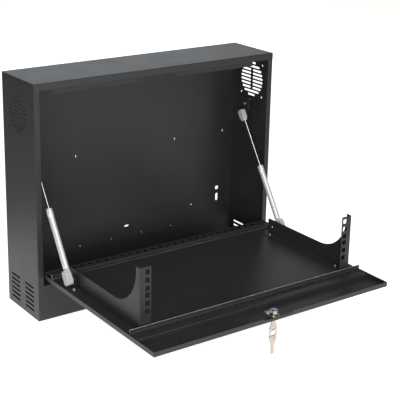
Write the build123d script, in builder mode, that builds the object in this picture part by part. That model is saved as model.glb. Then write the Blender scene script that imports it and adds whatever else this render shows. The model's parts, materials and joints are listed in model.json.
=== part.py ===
from build123d import *
from math import atan2, degrees, hypot, sqrt
import os

os.makedirs("parts", exist_ok=True)

# Wall mount network cabinet with a drop-down door that carries the equipment.
# X runs across, Y = 0 is the wall, the front looks towards -Y, Z is up.
# The origin is the middle of the back face at its bottom edge.
# The door is modelled open at 90 degrees.

# Driving sizes of the cabinet, in millimetres
cabinet_width = 575
cabinet_depth = 134
cabinet_height = 485
sheet = 1.2
bend = 1.5
seam = 0.1
side_flange = 12
top_flange = 14
sill_height = 75
sill_return = 12
rear_upstand = 78
back_flange = 13

half_width = cabinet_width / 2
front = -cabinet_depth
inner_half = half_width - sheet
under_top = cabinet_height - sheet

# Fan grille and slot vents of the side panels
fan_behind_front = 68.5
fan_below_top = 70
fan_screw_pitch = 71.5
fan_screw_hole = 4.5
grille_radius = 38
grille_rows = 10
grille_pitch = 8
grille_slot = 4.5
grille_rib = 6
grille_split_rows = 6
vent_rows = 6
vent_pitch = 9.82
vent_first_height = 15.6
vent_slot = 4
vent_length = 38
vent_group_offsets = (39, 99.7)

fan_height = cabinet_height - fan_below_top

# Door
door_side_gap = 1.2
door_edge_gap = 1.5
door_depth = 10
hinge_stand_off = 7
knuckle_radius = 6.7
hinge_y = front - hinge_stand_off
hinge_z = sill_height + hinge_stand_off

door_half = half_width - side_flange - door_side_gap
door_outer_z = hinge_z + hinge_stand_off
door_floor_z = door_outer_z + sheet
door_rim_z = door_outer_z + door_depth
door_rear_y = hinge_y - (sill_height + door_edge_gap - hinge_z)
door_front_y = hinge_y - (cabinet_height - top_flange - door_edge_gap - hinge_z)
relief_half = 38
relief_depth = 3.5
relief_slope = 135

# Tray plate and the two rails on the door
tray_top = door_rim_z
tray_rear_gap = 3.5
tray_front_gap = 54.1
rail_height = 8
rear_rail_width = 26
front_rail_width = 25.7
rail_pitch = 18.8
rail_slots = 26
notch_size = 8
rear_notch_inset = 11.5
front_notch_inset = 7.5

tray_rear_y = door_rear_y - tray_rear_gap
tray_front_y = door_front_y + tray_front_gap
tray_half = door_half - sheet - seam

# Rack brackets, two rack units high
rack_unit_step = 15.875
rack_unit_gap = 12.7
rack_hole = 9.5
rack_hole_inset = 16.45
ear_width = 24
bracket_sheet = 1.5
bracket_flange = 18
ear_set_back = 84.5
bracket_rear_gap = 54.5
web_height = 32.5
web_curve = 75
web_front_width = 12.5
first_hole_height = 32
ear_top_margin = 9.3
bracket_screw_inset = 10
bracket_screw_ends = (17.5, 27.5)
web_hole_radius = 2
web_hole_inset = 13.5

# Gas struts
strut_from_wall = 24.3
bracket_from_strut = 13
upper_ball_behind_front = 66
upper_ball_below_fan = 75
lower_ball_from_hinge = 74
lower_ball_above_tray = 15
ball_radius = 4
ball_gap = 0.05
tube_radius = 6
tube_wall = 1
rod_radius = 2
tube_start = 21
tube_spare = 18
rod_fitting_length = 18
rod_fitting_half = 8
rod_fitting_back = 7
rod_fitting_neck = 4.8
tube_fitting_half = 9.5
tube_fitting_back = 9
tube_fitting_neck = 6.3
stud_reach = 7.5
pivot_gap = 0.3
strut_bracket_sheet = 1.5

strut_x = inner_half - strut_from_wall
bracket_outer_x = strut_x - bracket_from_strut
ear_inner_x = bracket_outer_x - ear_width
rack_hole_x = bracket_outer_x - rack_hole_inset
upper_ball_y = front + upper_ball_behind_front
upper_ball_z = fan_height - upper_ball_below_fan
lower_ball_y = hinge_y - lower_ball_from_hinge
lower_ball_z = tray_top + lower_ball_above_tray
closed_ball_y = hinge_y + (lower_ball_z - hinge_z)
closed_ball_z = hinge_z - (lower_ball_y - hinge_y)
strut_length = hypot(upper_ball_y - lower_ball_y, upper_ball_z - lower_ball_z)
closed_length = hypot(upper_ball_y - closed_ball_y, upper_ball_z - closed_ball_z)
stroke = strut_length - closed_length
tube_end = closed_length - rod_fitting_length - rod_fitting_half - tube_spare

# Lock and keys
lock_x = -2
lock_inset = 13.5
lock_radius = 8
plug_radius = 6
cam_above_rim = 3
cam_thickness = 2
cam_reach = 21
cam_hub = 7.5
cam_tip = 5
cam_neck = 7
cam_square = 6
key_thickness = 1.8
bow_half = 9
bow_corner = 4.5
bow_shoulder = 12
key_blade = 7
key_blade_length = 20
key_bits = 4
key_bit_pitch = 3.6
key_hole_radius = 2.5
key_hole_inset = 4.5
key_stands_off = 3.5
ring_radius = 7.5
ring_wire = 0.6
hang_gap = 0.3

lock_y = door_front_y + lock_inset
cam_z = door_rim_z + cam_above_rim


def save(builder, name):
    """Label a finished piece and write it as one STEP file."""
    builder.part.label = name
    export_step(builder.part, f"parts/{name}.step")


def bent_sheet(points, thickness, radius):
    """Closed outline of a bent sheet. The points run along its outer face, the metal lies to their left."""
    with BuildSketch(mode=Mode.PRIVATE) as outline:
        with BuildLine():
            FilletPolyline(*points, radius=radius)
            offset(amount=thickness, side=Side.LEFT)
        make_face()
    return outline.sketch


def mirror_to_left(builder):
    """The left-hand twin of a right-hand piece."""
    with BuildPart() as twin:
        mirror(builder.part, about=Plane.YZ)
    return twin


# Side panels: front flange, fan grille with its four screw holes, two groups of slot vents
def grille_slots():
    """Rows of rounded slots whose ends follow the fan's circle. The middle rows are split by a rib."""
    first_row = -(grille_rows - 1) / 2 * grille_pitch
    for row in range(grille_rows):
        height = first_row + row * grille_pitch
        half_chord = sqrt(grille_radius**2 - height**2)
        from_middle = abs(row - (grille_rows - 1) / 2)
        if from_middle < grille_split_rows / 2:
            length = half_chord - grille_rib / 2
            centre = (half_chord + grille_rib / 2) / 2
            with Locations((-centre, height), (centre, height)):
                SlotOverall(length, grille_slot)
        else:
            with Locations((0, height)):
                SlotOverall(2 * half_chord, grille_slot)


panel_path = [
    (half_width - side_flange, front),
    (half_width, front),
    (half_width, 0),
]
with BuildPart() as right_side_panel:
    with BuildSketch(Plane.XY.offset(sheet + seam)):
        add(bent_sheet(panel_path, sheet, bend))
    extrude(amount=cabinet_height - 2 * sheet - 2 * seam)
    with BuildSketch(Plane.XZ.offset(-front)):
        with Locations((half_width, 0)):
            Rectangle(4 * side_flange, 2 * (sill_height + seam))
        with Locations((half_width, cabinet_height)):
            Rectangle(4 * side_flange, 2 * (top_flange + seam))
    extrude(amount=-(sheet + seam), mode=Mode.SUBTRACT)
    with BuildSketch(Plane.YZ.offset(inner_half)):
        with Locations((front + fan_behind_front, fan_height)):
            grille_slots()
            with GridLocations(fan_screw_pitch, fan_screw_pitch, 2, 2):
                Circle(fan_screw_hole / 2)
        for offset_from_front in vent_group_offsets:
            for row in range(vent_rows):
                with Locations((front + offset_from_front, vent_first_height + row * vent_pitch)):
                    SlotOverall(vent_length, vent_slot)
    extrude(amount=2 * sheet, both=True, mode=Mode.SUBTRACT)
save(right_side_panel, "right_side_panel")
left_side_panel = mirror_to_left(right_side_panel)
save(left_side_panel, "left_side_panel")

# Top panel with its front flange
top_path = [(0, cabinet_height), (front, cabinet_height), (front, cabinet_height - top_flange)]
with BuildPart() as top_panel:
    with BuildSketch(Plane.YZ):
        add(bent_sheet(top_path, sheet, bend))
    extrude(amount=half_width, both=True)
save(top_panel, "top_panel")

# Base pan: sill with a folded-back lip, floor and rear upstand
base_path = [
    (front + sill_return, sill_height),
    (front, sill_height),
    (front, 0),
    (-sheet - seam, 0),
    (-sheet - seam, rear_upstand),
]
hinge_from_side = 107.5
hinge_centres = (hinge_from_side - half_width, half_width - hinge_from_side)
leaf_length = 60
leaf_height = 40
leaf_thickness = 3
rivet_hole = 2.45
rivet_columns = (-20, 20)
rivet_rows = (17, 31)
with BuildPart() as base_pan:
    with BuildSketch(Plane.YZ):
        add(bent_sheet(base_path, sheet, bend))
    extrude(amount=half_width, both=True)
    for side in (-1, 1):
        with BuildSketch(Plane.XY.offset(sheet + seam)):
            with Locations((side * half_width, 0)):
                Rectangle(2 * (half_width - inner_half + 2 * sheet), 2 * (cabinet_depth - sheet - seam))
        extrude(amount=cabinet_height / 2, mode=Mode.SUBTRACT)
    with BuildSketch(Plane.XZ.offset(-front)):
        for centre in hinge_centres:
            for column in rivet_columns:
                for drop in rivet_rows:
                    with Locations((centre + column, hinge_z - drop)):
                        Circle(rivet_hole)
    extrude(amount=-2 * sheet, mode=Mode.SUBTRACT)
save(base_pan, "base_pan")

# Back panel with its wall slots, keyholes and cable tie holes
wall_slot = (5.5, 2)
wall_slot_height = 284.5
wall_slot_places = (125.3, 257.3)
fixing_hole = 9
fixing_from_wall = 40.8
fixing_height = 149
fixing_slot = (18, 6.5)
fixing_slot_height = 126.75
earth_slot = (11, 4)
earth_slot_height = 104
tie_slot = (5, 1.5)
tie_slot_place = (173.5, 121)
weld_hole = 2
weld_hole_places = (39.2, 117.7)
weld_hole_above = 3
weld_hole_height = rear_upstand + weld_hole_above
fixing_x = inner_half - fixing_from_wall
back_half = inner_half - seam
back_path = [
    (back_half, -back_flange),
    (back_half, 0),
    (-back_half, 0),
    (-back_half, -back_flange),
]
with BuildPart() as back_panel:
    with BuildSketch():
        add(bent_sheet(back_path, sheet, bend))
    extrude(amount=under_top - seam)
    with BuildSketch(Plane.XZ.offset(sheet)):
        Rectangle(2 * cabinet_width, 2 * (rear_upstand + seam))
        with Locations((0, cabinet_height)):
            Rectangle(2 * cabinet_width, 2 * top_flange)
    extrude(amount=back_flange, mode=Mode.SUBTRACT)
    with BuildSketch(Plane.XZ):
        for side in (-1, 1):
            for place in wall_slot_places:
                with Locations((side * place, wall_slot_height)):
                    SlotOverall(*wall_slot, rotation=90)
            with Locations((side * fixing_x, fixing_height)):
                Circle(fixing_hole / 2)
            with Locations((side * fixing_x, fixing_slot_height)):
                SlotOverall(*fixing_slot, rotation=90)
            with Locations((side * tie_slot_place[0], tie_slot_place[1])):
                SlotOverall(*tie_slot)
            for place in weld_hole_places:
                with Locations((side * place, weld_hole_height)):
                    Circle(weld_hole / 2)
        with Locations((0, earth_slot_height)):
            SlotOverall(*earth_slot)
    extrude(amount=2 * sheet, both=True, mode=Mode.SUBTRACT)
save(back_panel, "back_panel")

# Stop strip under the top panel: its lip stops the closed door, its notch lets the lock cam by
stop_gap = 1.4
stop_drop = 12
stop_ledge = 22
stop_from_wall = 44.3
stop_notch_half = 41
stop_hole = 3
stop_hole_x = 164
closed_rim_y = hinge_y + (door_rim_z - hinge_z)
stop_front_y = closed_rim_y + stop_gap
stop_half = inner_half - stop_from_wall
stop_bottom = cabinet_height - top_flange - stop_drop
stop_path = [
    (stop_front_y + stop_ledge, under_top),
    (stop_front_y, under_top),
    (stop_front_y, stop_bottom),
]
with BuildPart() as stop_strip:
    with BuildSketch(Plane.YZ):
        add(bent_sheet(stop_path, sheet, bend))
    extrude(amount=stop_half, both=True)
    with BuildSketch(Plane.XZ.offset(-stop_front_y)):
        with Locations((0, stop_bottom)):
            Rectangle(2 * stop_notch_half, 2 * stop_drop)
        with Locations((-stop_hole_x, stop_bottom + stop_hole), (stop_hole_x, stop_bottom + stop_hole)):
            Circle(stop_hole / 2)
    extrude(amount=-2 * sheet, mode=Mode.SUBTRACT)
save(stop_strip, "stop_strip")

# Butt hinges: local x is the distance from the pin to the plate's back, local y runs along the plate
knuckles = 5
knuckle_gap = 0.3
pin_gap = 0.05
barrel_bore = hinge_stand_off - leaf_thickness
leaf_notch_gap = 0.4
notch_radius = hinge_stand_off + leaf_notch_gap
leaf_root = 1
rivet_head_radius = 4
rivet_edge = 0.8
rivet_head = 1.2
rivet_tail_radius = 3.4
rivet_tail = 1


def frame_leaf_plane(x):
    """Plane of the leaf on the sill, at the pin."""
    return Plane(origin=(x, hinge_y, hinge_z), x_dir=(0, 1, 0), z_dir=(-1, 0, 0))


def door_leaf_plane(x):
    """Plane of the leaf under the open door, at the pin."""
    return Plane(origin=(x, hinge_y, hinge_z), x_dir=(0, 0, 1), z_dir=(1, 0, 0))


def hinge_leaves(leaf_plane, own_knuckles):
    """One leaf of each hinge, with its share of the knuckles."""
    knuckle = leaf_length / knuckles
    with BuildPart() as leaves:
        for centre in hinge_centres:
            with BuildSketch(leaf_plane(centre)):
                with Locations((barrel_bore, notch_radius)):
                    Rectangle(leaf_thickness, leaf_height - notch_radius, align=(Align.MIN, Align.MIN))
            extrude(amount=leaf_length / 2, both=True)
            for index in own_knuckles:
                middle = centre - leaf_length / 2 + (index + 0.5) * knuckle
                with BuildSketch(leaf_plane(middle)):
                    with Locations((barrel_bore, 0)):
                        Rectangle(leaf_thickness, notch_radius + leaf_root, align=(Align.MIN, Align.MIN))
                    Circle(knuckle_radius)
                    Circle(barrel_bore, mode=Mode.SUBTRACT)
                extrude(amount=(knuckle - knuckle_gap) / 2, both=True)
            for column in rivet_columns:
                for drop in rivet_rows:
                    with BuildSketch(leaf_plane(centre + column)):
                        with Locations((barrel_bore + leaf_thickness / 2, drop)):
                            Rectangle(2 * leaf_thickness, 2 * rivet_hole)
                    extrude(amount=rivet_hole, both=True, mode=Mode.SUBTRACT)
    return leaves


def hinge_rivets(leaf_plane):
    """Domed rivets through one leaf of each hinge and the sheet behind it."""
    tail_from = hinge_stand_off + sheet
    with BuildPart() as rivets:
        for centre in hinge_centres:
            for column in rivet_columns:
                for drop in rivet_rows:
                    with BuildSketch(leaf_plane(centre + column)):
                        with BuildLine():
                            Polyline(
                                (barrel_bore - rivet_head, drop),
                                (tail_from + rivet_tail, drop),
                                (tail_from + rivet_tail, drop + rivet_tail_radius),
                                (tail_from, drop + rivet_tail_radius),
                                (tail_from, drop + rivet_hole - pin_gap),
                                (barrel_bore, drop + rivet_hole - pin_gap),
                                (barrel_bore, drop + rivet_head_radius),
                            )
                            Line(
                                (barrel_bore, drop + rivet_head_radius),
                                (barrel_bore - rivet_head / 2, drop + rivet_head_radius * rivet_edge),
                            )
                            Line(
                                (barrel_bore - rivet_head / 2, drop + rivet_head_radius * rivet_edge),
                                (barrel_bore - rivet_head, drop),
                            )
                        make_face()
                    pin_axis = leaf_plane(centre + column)
                    revolve(axis=Axis(pin_axis.from_local_coords((0, drop, 0)), pin_axis.x_dir))
    return rivets


frame_hinge_leaves = hinge_leaves(frame_leaf_plane, (0, 2, 4))
save(frame_hinge_leaves, "frame_hinge_leaves")
door_hinge_leaves = hinge_leaves(door_leaf_plane, (1, 3))
save(door_hinge_leaves, "door_hinge_leaves")
frame_hinge_rivets = hinge_rivets(frame_leaf_plane)
save(frame_hinge_rivets, "frame_hinge_rivets")
door_hinge_rivets = hinge_rivets(door_leaf_plane)
save(door_hinge_rivets, "door_hinge_rivets")
with BuildPart() as hinge_pins:
    for centre in hinge_centres:
        with BuildSketch(frame_leaf_plane(centre)):
            Circle(barrel_bore - pin_gap)
        extrude(amount=leaf_length / 2, both=True)
save(hinge_pins, "hinge_pins")

# Door pan: a flat pan with a rim all round, relieved in front of the lock
with BuildPart() as door_pan:
    with BuildSketch(Plane.XY.offset(door_outer_z)):
        with Locations((0, door_rear_y)):
            Rectangle(2 * door_half, door_rear_y - door_front_y, align=(Align.CENTER, Align.MAX))
    extrude(amount=door_depth)
    fillet(door_pan.faces().sort_by(Axis.Z)[0].edges(), bend)
    with BuildSketch(Plane.XY.offset(door_floor_z)):
        with Locations((0, door_rear_y - sheet)):
            Rectangle(
                2 * (door_half - sheet), door_rear_y - door_front_y - 2 * sheet, align=(Align.CENTER, Align.MAX)
            )
    extrude(amount=door_depth, mode=Mode.SUBTRACT)
    with BuildSketch(Plane.XZ.offset(-door_front_y)):
        with Locations((lock_x, door_rim_z)):
            Trapezoid(2 * relief_half, 2 * relief_depth, relief_slope, align=(Align.CENTER, Align.CENTER))
    extrude(amount=-2 * sheet, mode=Mode.SUBTRACT)
    with BuildSketch(Plane.XY.offset(door_outer_z)):
        with Locations((lock_x, lock_y)):
            Circle(lock_radius + seam)
        for centre in hinge_centres:
            for column in rivet_columns:
                for drop in rivet_rows:
                    with Locations((centre + column, hinge_y - drop)):
                        Circle(rivet_hole)
    extrude(amount=2 * sheet, mode=Mode.SUBTRACT)
save(door_pan, "door_pan")

# Places shared by the rack brackets, their screws and the tray plate
ear_y = door_front_y + ear_set_back
bracket_rear_y = door_rear_y - bracket_rear_gap
bracket_screw_x = bracket_outer_x - bracket_screw_inset
bracket_screw_places = (bracket_rear_y - bracket_screw_ends[0], ear_y + bracket_screw_ends[1])
rack_holes = [tray_top + first_hole_height]
for step in (rack_unit_step, rack_unit_step, rack_unit_gap, rack_unit_step, rack_unit_step):
    rack_holes.append(rack_holes[-1] + step)
ear_top = rack_holes[-1] + ear_top_margin
screw_hole = 2.25
screw_radius = 2
strut_screw_spread = 18
strut_screw_x = strut_x
strut_screw_places = (lower_ball_y - strut_screw_spread, lower_ball_y + strut_screw_spread)

# Tray plate between the rails
tray_path = [
    (tray_rear_y, door_floor_z),
    (tray_rear_y, tray_top),
    (tray_front_y, tray_top),
    (tray_front_y, door_floor_z),
]
with BuildPart() as tray_plate:
    with BuildSketch(Plane.YZ):
        add(bent_sheet(tray_path, sheet, bend))
    extrude(amount=tray_half, both=True)
    with BuildSketch(Plane.XY.offset(tray_top)):
        for side in (-1, 1):
            for place in bracket_screw_places:
                with Locations((side * bracket_screw_x, place)):
                    Circle(screw_hole)
            for place in strut_screw_places:
                with Locations((side * strut_screw_x, place)):
                    Circle(screw_hole)
    extrude(amount=-2 * sheet, mode=Mode.SUBTRACT)
save(tray_plate, "tray_plate")

# Rear rail: a shallow channel over the tray's rear edge, with a row of square cable tie holes
rear_rail_y = tray_rear_y + sheet + seam
rear_rail_path = [
    (rear_rail_y, door_floor_z),
    (rear_rail_y, tray_top + rail_height),
    (rear_rail_y - rear_rail_width, tray_top + rail_height),
    (rear_rail_y - rear_rail_width, tray_top),
]
with BuildPart() as rear_rail:
    with BuildSketch(Plane.YZ):
        add(bent_sheet(rear_rail_path, sheet, bend))
    extrude(amount=tray_half, both=True)
    with BuildSketch(Plane.XY.offset(tray_top + rail_height)):
        with Locations((0, rear_rail_y - rear_notch_inset)):
            with GridLocations(rail_pitch, 1, rail_slots, 1):
                Rectangle(notch_size, notch_size)
    extrude(amount=-2 * sheet, mode=Mode.SUBTRACT)
save(rear_rail, "rear_rail")

# Front rail: an upturned lip behind a slotted strip that folds down over the tray's front edge
front_rail_y = tray_front_y - sheet - seam
front_rail_path = [
    (front_rail_y + front_rail_width, tray_top + sheet + rail_height),
    (front_rail_y + front_rail_width, tray_top + sheet),
    (front_rail_y, tray_top + sheet),
    (front_rail_y, door_floor_z),
]
with BuildPart() as front_rail:
    with BuildSketch(Plane.YZ):
        add(bent_sheet(front_rail_path, sheet, bend))
    extrude(amount=tray_half, both=True)
    with BuildSketch(Plane.XY.offset(tray_top + sheet)):
        with Locations((0, front_rail_y + front_rail_width - front_notch_inset)):
            with GridLocations(rail_pitch, 1, rail_slots, 1):
                Rectangle(notch_size, notch_size)
    extrude(amount=-sheet, mode=Mode.SUBTRACT)
save(front_rail, "front_rail")

# Rack brackets: base flange, swept-up web and square-hole ear folded from one blank
with BuildPart() as right_rack_bracket:
    with BuildSketch(Plane.YZ.offset(bracket_outer_x - bracket_sheet)):
        with BuildLine():
            curve_start = (ear_y + web_front_width + web_curve, tray_top + web_height)
            curve_end = (ear_y + web_front_width, tray_top + web_height + web_curve)
            Polyline(
                curve_end,
                (curve_end[0], ear_top),
                (ear_y, ear_top),
                (ear_y, tray_top),
                (bracket_rear_y, tray_top),
                (bracket_rear_y, curve_start[1]),
                curve_start,
            )
            RadiusArc(curve_start, curve_end, web_curve)
        make_face()
        with Locations((bracket_rear_y - web_hole_inset, tray_top + web_height / 2)):
            Circle(web_hole_radius, mode=Mode.SUBTRACT)
    extrude(amount=bracket_sheet)
    with BuildSketch(Plane.XZ.offset(-ear_y)):
        with Locations((ear_inner_x, tray_top)):
            Rectangle(bracket_outer_x - ear_inner_x, ear_top - tray_top, align=(Align.MIN, Align.MIN))
        for height in rack_holes:
            with Locations((rack_hole_x, height)):
                Rectangle(rack_hole, rack_hole, mode=Mode.SUBTRACT)
    extrude(amount=-bracket_sheet)
    with BuildSketch(Plane.XY.offset(tray_top)):
        with Locations((bracket_outer_x, ear_y + bracket_sheet)):
            Rectangle(bracket_flange, bracket_rear_y - ear_y - bracket_sheet, align=(Align.MAX, Align.MIN))
        for place in bracket_screw_places:
            with Locations((bracket_screw_x, place)):
                Circle(screw_hole, mode=Mode.SUBTRACT)
    extrude(amount=bracket_sheet)
    outer_edges = right_rack_bracket.edges().filter_by(Axis.Z).group_by(Axis.X)[-1]
    fillet(outer_edges.sort_by(Axis.Y)[0], bend)
save(right_rack_bracket, "right_rack_bracket")
left_rack_bracket = mirror_to_left(right_rack_bracket)
save(left_rack_bracket, "left_rack_bracket")

# Pan head screws, each one solid with its washer and nut
head_radius = 3.8
head_height = 2.4
washer_radius = 4.8
washer = 0.8
nut_across = 7
nut_height = 3


def pan_screw(seat, axis, clamped):
    """A screw whose washer lies on the seat. The axis points to its head, the nut sits below what it clamps."""
    across = Vector(axis).cross(Vector(0, -1, 0))
    with BuildPart() as screw:
        with BuildSketch(Plane(origin=seat, x_dir=across, z_dir=(0, -1, 0))):
            with BuildLine():
                Polyline(
                    (0, washer + head_height),
                    (0, -clamped - nut_height),
                    (nut_across / 2, -clamped - nut_height),
                    (nut_across / 2, -clamped),
                    (screw_radius, -clamped),
                    (screw_radius, 0),
                    (washer_radius, 0),
                    (washer_radius, washer),
                    (head_radius, washer),
                    (head_radius, washer + head_height / 2),
                )
                TangentArc((0, washer + head_height), (head_radius, washer + head_height / 2), tangent=(1, 0))
            make_face()
        revolve(axis=Axis(seat, axis))
    return screw.part


def tray_screws(x, places, flange):
    """Screws through a flange and the tray plate, at both sides of the tray."""
    with BuildPart() as screws:
        for side in (-1, 1):
            for place in places:
                add(pan_screw((side * x, place, tray_top + flange), (0, 0, 1), flange + sheet))
    return screws


rack_bracket_screws = tray_screws(bracket_screw_x, bracket_screw_places, bracket_sheet)
save(rack_bracket_screws, "rack_bracket_screws")
lower_bracket_screws = tray_screws(strut_screw_x, strut_screw_places, strut_bracket_sheet)
save(lower_bracket_screws, "strut_bracket_screws")

# Lower strut brackets: a foot on the tray's margin with an upright tab inboard of the strut
lower_tab_x = strut_x - stud_reach
lower_tab_half = 11
lower_foot_half = 26
lower_foot_reach = 9
tab_root = 4
stud_hole = 2.55
stud_shank = 2.5
tab_beyond_ball = 8
bracket_bend = 2
with BuildPart() as right_lower_bracket:
    tab_top = lower_ball_z + tab_beyond_ball
    with BuildSketch(Plane.XZ.offset(-lower_ball_y)):
        lower_profile = [
            (lower_tab_x - strut_bracket_sheet, tab_top),
            (lower_tab_x - strut_bracket_sheet, tray_top),
            (strut_x + lower_foot_reach, tray_top),
        ]
        add(bent_sheet(lower_profile, strut_bracket_sheet, bracket_bend))
    extrude(amount=lower_foot_half, both=True)
    with BuildSketch(Plane.YZ.offset(lower_tab_x)):
        for side in (-1, 1):
            with Locations((lower_ball_y + side * lower_foot_half, tab_top)):
                Rectangle(2 * (lower_foot_half - lower_tab_half), 2 * (tab_top - tray_top - tab_root))
        with Locations((lower_ball_y, lower_ball_z)):
            Circle(stud_hole)
    extrude(amount=2 * strut_bracket_sheet, both=True, mode=Mode.SUBTRACT)
    with BuildSketch(Plane.XY.offset(tray_top)):
        for place in strut_screw_places:
            with Locations((strut_screw_x, place)):
                Circle(screw_hole)
    extrude(amount=2 * strut_bracket_sheet, mode=Mode.SUBTRACT)
save(right_lower_bracket, "right_lower_strut_bracket")
save(mirror_to_left(right_lower_bracket), "left_lower_strut_bracket")

# Upper strut brackets: a U-shaped bracket welded to the side wall, and the stud plate screwed to it
upper_plate_x = strut_x + stud_reach
upper_plate_half = 9
upper_screw_rise = 20
upper_screw_back = 4
upper_plate_rise = 28
upper_shelf_rise = 32
upper_tab_rise = 10
upper_leg_drop = 10
upper_half = 12
with BuildPart() as right_stud_plate:
    with BuildSketch(Plane.YZ.offset(upper_plate_x)):
        with Locations((upper_ball_y, upper_ball_z - tab_beyond_ball)):
            Rectangle(2 * upper_plate_half, upper_plate_rise + tab_beyond_ball, align=(Align.CENTER, Align.MIN))
        with Locations((upper_ball_y, upper_ball_z)):
            Circle(stud_hole, mode=Mode.SUBTRACT)
        with Locations((upper_ball_y + upper_screw_back, upper_ball_z + upper_screw_rise)):
            Circle(screw_hole, mode=Mode.SUBTRACT)
    extrude(amount=strut_bracket_sheet)
    fillet(right_stud_plate.edges().filter_by(Axis.X).group_by(Axis.Z)[0], bracket_bend)
save(right_stud_plate, "right_upper_stud_plate")
save(mirror_to_left(right_stud_plate), "left_upper_stud_plate")
upper_tab_x = upper_plate_x + strut_bracket_sheet
with BuildPart() as right_upper_bracket:
    with BuildSketch(Plane.XZ.offset(-upper_ball_y)):
        upper_profile = [
            (inner_half, upper_ball_z - upper_leg_drop),
            (inner_half, upper_ball_z + upper_shelf_rise),
            (upper_tab_x, upper_ball_z + upper_shelf_rise),
            (upper_tab_x, upper_ball_z + upper_tab_rise),
        ]
        add(bent_sheet(upper_profile, strut_bracket_sheet, bracket_bend))
    extrude(amount=upper_half, both=True)
    with BuildSketch(Plane.YZ.offset(upper_tab_x)):
        with Locations((upper_ball_y + upper_screw_back, upper_ball_z + upper_screw_rise)):
            Circle(screw_hole)
    extrude(amount=2 * strut_bracket_sheet, mode=Mode.SUBTRACT)
save(right_upper_bracket, "right_upper_strut_bracket")
save(mirror_to_left(right_upper_bracket), "left_upper_strut_bracket")
with BuildPart() as stud_plate_screws:
    for side in (-1, 1):
        seat = (side * upper_plate_x, upper_ball_y + upper_screw_back, upper_ball_z + upper_screw_rise)
        add(pan_screw(seat, (-side, 0, 0), 2 * strut_bracket_sheet))
save(stud_plate_screws, "stud_plate_screws")

# Gas struts. Local z runs from the lower ball to the upper one, local x is the cabinet's X.
strut_direction = (
    0,
    (upper_ball_y - lower_ball_y) / strut_length,
    (upper_ball_z - lower_ball_z) / strut_length,
)
piston_height = 8
piston_below_guide = 1
piston_face = 1
guide_height = 8
guide_recess = 0.5
tube_edge = 0.8
tube_shoulder = 1.5
tube_floor = 2
socket_cut = 2.8
socket_corner = 3
socket_shoulder = 0.55
socket_floor = 2.5
rod_seat_gap = 0.5
neck_edge = 0.8
neck_root = 1
block_edge = 1.6
seat_gap = 0.2
fit_gap = 0.05
press_gap = 0.01
stub_radius = 3
stub_length = 8


def strut_plane(along, outward=1):
    """Plane across the strut, this far up from the lower ball."""
    origin = (
        strut_x,
        lower_ball_y + along * strut_direction[1],
        lower_ball_z + along * strut_direction[2],
    )
    upward = (0, outward * strut_direction[1], outward * strut_direction[2])
    return Plane(origin=origin, x_dir=(1, 0, 0), z_dir=upward)


def turned(profile_points, along=0, outward=1):
    """Solid of revolution about the strut's axis, from points (radius, distance up the strut)."""
    base = strut_plane(along, outward)
    section = Plane(origin=base.origin, x_dir=base.x_dir, z_dir=base.y_dir * -1)
    with BuildPart() as body:
        with BuildSketch(section):
            with BuildLine():
                Polyline(*profile_points, close=True)
            make_face()
        revolve(axis=Axis(base.origin, base.z_dir))
    return body


def socket_fitting(along, outward, length, half, back, neck, bore, open_side):
    """Moulded ball socket: a bevelled block round the ball, open towards the stud, with a round neck."""
    base = strut_plane(along, outward)
    opening = Vector(open_side, 0, 0)
    block_plane = Plane(origin=base.origin, x_dir=base.z_dir.cross(opening), z_dir=opening)
    neck_end = length - neck_edge
    cavity = ball_radius + ball_gap
    with BuildPart() as fitting:
        with BuildSketch(block_plane.offset(-back)):
            with BuildLine():
                Polyline(
                    (-half, socket_corner - half),
                    (socket_corner - half, -half),
                    (half - socket_corner, -half),
                    (half, socket_corner - half),
                    (half, length * socket_shoulder),
                    (neck, neck_end),
                    (-neck, neck_end),
                    (-half, length * socket_shoulder),
                    close=True,
                )
            make_face()
        extrude(amount=back + socket_cut)
        chamfer(fitting.faces().sort_by(Axis.X)[-1 if open_side < 0 else 0].edges(), block_edge)
        neck_start = half - neck_root
        neck_profile = [
            (0, neck_start),
            (neck, neck_start),
            (neck, neck_end),
            (neck - neck_edge, length),
            (0, length),
        ]
        add(turned(neck_profile, along, outward).part)
        with BuildSketch(Plane(origin=base.origin, x_dir=(1, 0, 0), z_dir=(0, -1, 0))):
            with BuildLine():
                Line((-cavity, 0), (cavity, 0))
                ThreePointArc((cavity, 0), (0, cavity), (-cavity, 0))
            make_face()
        revolve(axis=Axis(base.origin, (1, 0, 0)), mode=Mode.SUBTRACT)
        bore_start = half + socket_floor
        bore_end = length + neck_edge
        bore_wall = bore + fit_gap
        bore_profile = [(0, bore_start), (bore_wall, bore_start), (bore_wall, bore_end), (0, bore_end)]
        add(turned(bore_profile, along, outward).part, mode=Mode.SUBTRACT)
    return fitting


stud_neck = 2
stud_collar_radius = 4.4
stud_collar = 1.8
stud_tail = 1
stud_tail_radius = 3.6


def ball_stud(centre, side, through):
    """Ball on a neck and a collar. A through stud goes on into the bracket's tab and is riveted over."""
    collar_end = stud_reach - (0 if through else pivot_gap)
    reach = stud_reach + strut_bracket_sheet
    riveted = reach + stud_tail
    tail = [(reach, stud_shank), (reach, stud_tail_radius), (riveted, stud_shank), (riveted, 0)]
    with BuildPart() as stud:
        with BuildSketch(Plane(origin=centre, x_dir=(side, 0, 0), z_dir=(0, -1, 0))):
            with BuildLine():
                neck_start = sqrt(ball_radius**2 - stud_neck**2)
                ThreePointArc((-ball_radius, 0), (0, ball_radius), (neck_start, stud_neck))
                Polyline(
                    (neck_start, stud_neck),
                    (collar_end - stud_collar, stud_neck),
                    (collar_end - stud_collar, stud_collar_radius),
                    (collar_end, stud_collar_radius),
                    (collar_end, stud_shank if through else 0),
                    *(tail if through else []),
                    (-ball_radius, 0),
                )
            make_face()
        revolve(axis=Axis(centre, (1, 0, 0)))
    return stud


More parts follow.
